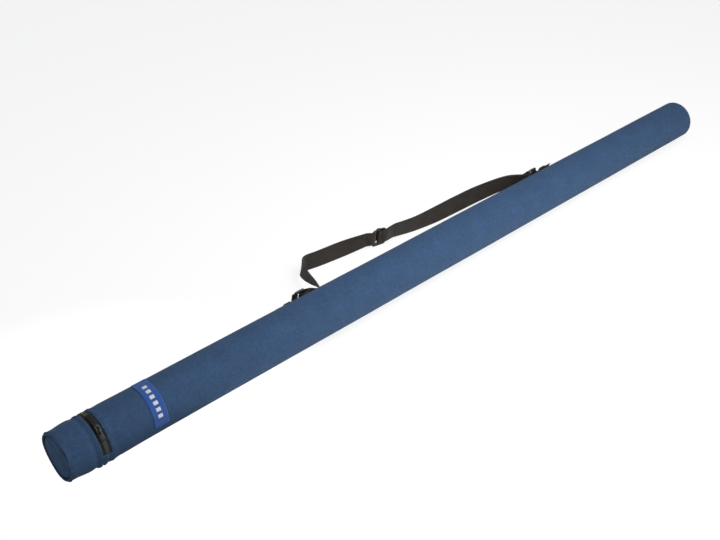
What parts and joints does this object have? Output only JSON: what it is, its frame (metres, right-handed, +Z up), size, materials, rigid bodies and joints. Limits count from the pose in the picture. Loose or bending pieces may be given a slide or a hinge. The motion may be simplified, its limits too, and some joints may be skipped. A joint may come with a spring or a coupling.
{
  "type": "telescope carry case",
  "caption": "Long slim hard tube case with a blue fabric cover, a zip-off hinged lid at one end and a black webbing carry strap with an adjuster.",
  "frame": {"origin": "middle of the tube's underside, on the flat that it rests on", "axes": "+X along the tube from the lid end to the closed end, +Y towards the back where the strap lies, +Z up"},
  "size_m": [1.475, 0.1909, 0.0783],
  "materials": {
    "blue_fabric": "matt woven polyester",
    "webbing": "matt ribbed webbing",
    "zip_tape": "matt twill tape",
    "zip_teeth": "satin nylon coil",
    "dark_metal": "satin black enamel",
    "moulded_plastic": "satin moulded",
    "liner": "smooth extruded",
    "foam": "closed-cell foam",
    "label": "satin woven label"
  },
  "bodies": {
    "case_body": {"tube_liner": "liner", "end_plug": "moulded_plastic", "end_foam_pad": "foam", "body_sleeve": "blue_fabric", "closed_end_panel": "blue_fabric", "closed_end_piping": "blue_fabric", "woven_label": "label", "zip_tape_body": "zip_tape", "zip_teeth_body": "zip_teeth", "zip_stop_front_body": "dark_metal", "zip_stop_back_body": "dark_metal", "hinge_panel_body": "blue_fabric", "near_ring": "moulded_plastic", "near_anchor_tab": "webbing", "far_ring": "moulded_plastic", "far_anchor_tab": "webbing", "strap_webbing": "webbing", "strap_adjuster": "moulded_plastic"},
    "lid": {"lid_liner": "liner", "lid_disc": "moulded_plastic", "lid_foam_pad": "foam", "lid_sleeve": "blue_fabric", "lid_end_panel": "blue_fabric", "lid_end_piping": "blue_fabric", "zip_tape_lid": "zip_tape", "zip_teeth_lid": "zip_teeth", "zip_stop_front_lid": "dark_metal", "zip_stop_back_lid": "dark_metal", "hinge_panel_lid": "blue_fabric"},
    "slider": {"zip_slider": "dark_metal"},
    "tab": {"pull_tab": "dark_metal"}
  },
  "joints": [
    {"name": "lid_hinge", "type": "hinge", "parent": "case_body", "child": "lid", "pos_m": [-0.6825, -0.02926, 0.01312], "axis": [0, -0.6428, 0.766], "range_deg": [0, 150]},
    {"name": "slider_travel", "type": "hinge", "parent": "case_body", "child": "slider", "pos_m": [-0.6825, 0, 0.03767], "axis": [-1, 0, 0], "range_deg": [-28, 190]},
    {"name": "pull_tab_flip", "type": "hinge", "parent": "slider", "child": "tab", "pos_m": [-0.6825, -0.0268, 0.06883], "axis": [1, 0, 0], "range_deg": [0, 140]}
  ]
}
